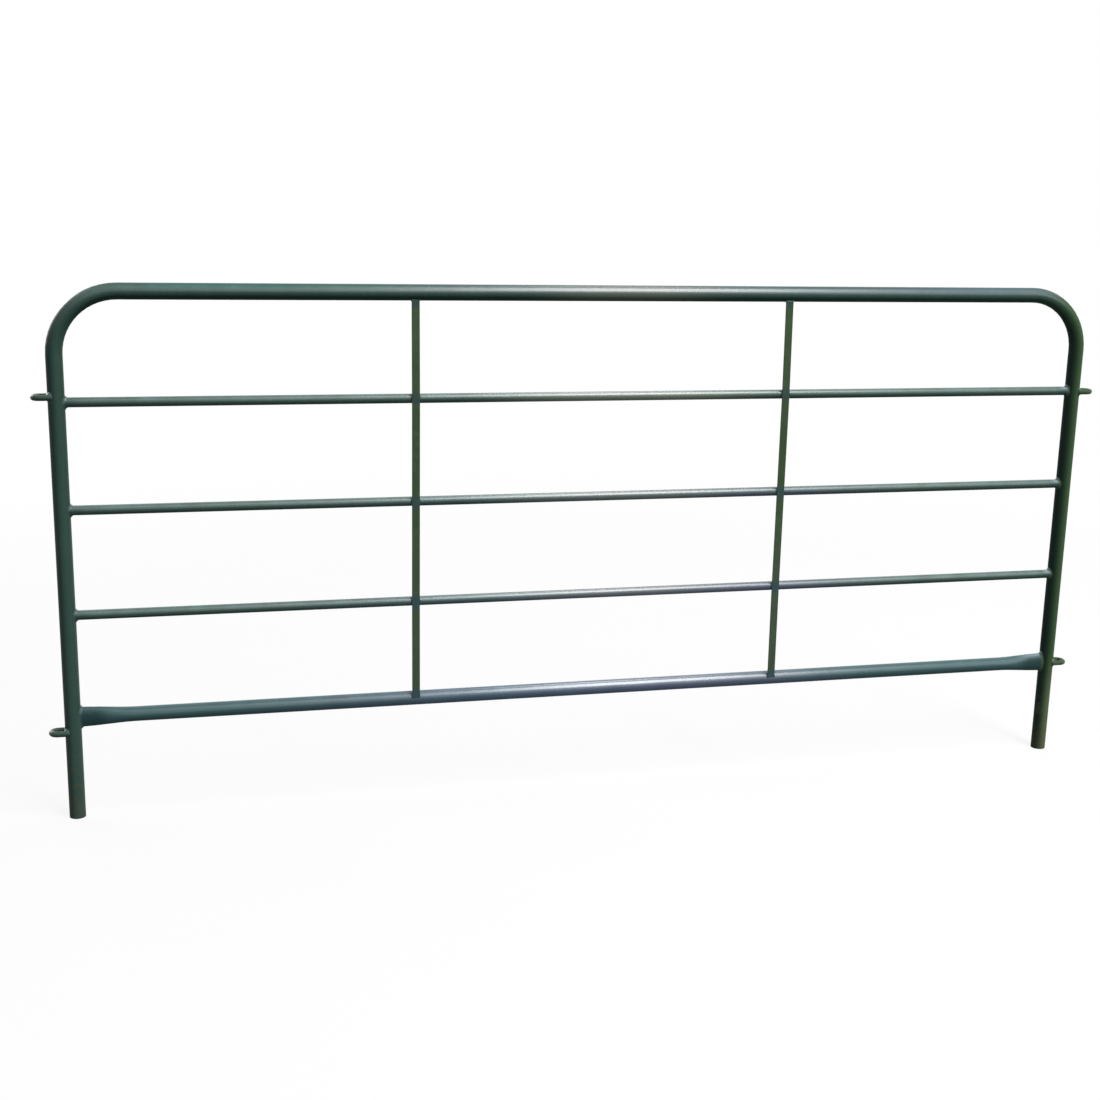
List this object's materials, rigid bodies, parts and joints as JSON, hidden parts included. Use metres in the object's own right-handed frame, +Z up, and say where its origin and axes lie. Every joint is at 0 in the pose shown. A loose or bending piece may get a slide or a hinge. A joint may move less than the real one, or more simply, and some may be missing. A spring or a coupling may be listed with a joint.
{
  "type": "livestock panel",
  "caption": "Free-standing livestock panel of welded steel tube: a bent hoop with legs, cross rails, flat stays and rod loops at both ends for pinning panels into a pen.",
  "frame": {"origin": "on the floor, midway between the two legs and in the plane of the tubes", "axes": "+X along the panel towards the right leg, +Z up, -Y towards the side with the stays"},
  "size_m": [3.134, 0.0524, 1.4795],
  "materials": {
    "tube_paint": "semi-gloss dark green enamel on steel tube, lightly weathered",
    "strap_paint": "dull dark green enamel on flat steel strap",
    "rod_paint": "semi-gloss dark green enamel on steel rod, rubbed where loops meet",
    "weld_paint": "dark green enamel over weld beads"
  },
  "bodies": {
    "root": {"hoop": "tube_paint", "upper_rail": "tube_paint", "middle_rail": "tube_paint", "lower_rail": "tube_paint", "bottom_rail": "tube_paint", "left_stay": "strap_paint", "right_stay": "strap_paint", "upper_left_loop": "rod_paint", "lower_left_loop": "rod_paint", "upper_right_loop": "rod_paint", "lower_right_loop": "rod_paint", "upper_rail_left_weld": "weld_paint", "upper_rail_right_weld": "weld_paint", "middle_rail_left_weld": "weld_paint", "middle_rail_right_weld": "weld_paint", "lower_rail_left_weld": "weld_paint", "lower_rail_right_weld": "weld_paint", "bottom_rail_left_weld": "weld_paint", "bottom_rail_right_weld": "weld_paint", "left_stay_top_weld": "weld_paint", "left_stay_rail_welds": "weld_paint", "left_stay_foot_welds": "weld_paint", "right_stay_top_weld": "weld_paint", "right_stay_rail_welds": "weld_paint", "right_stay_foot_welds": "weld_paint", "upper_left_loop_welds": "weld_paint", "lower_left_loop_welds": "weld_paint", "upper_right_loop_welds": "weld_paint", "lower_right_loop_welds": "weld_paint"}
  },
  "joints": []
}
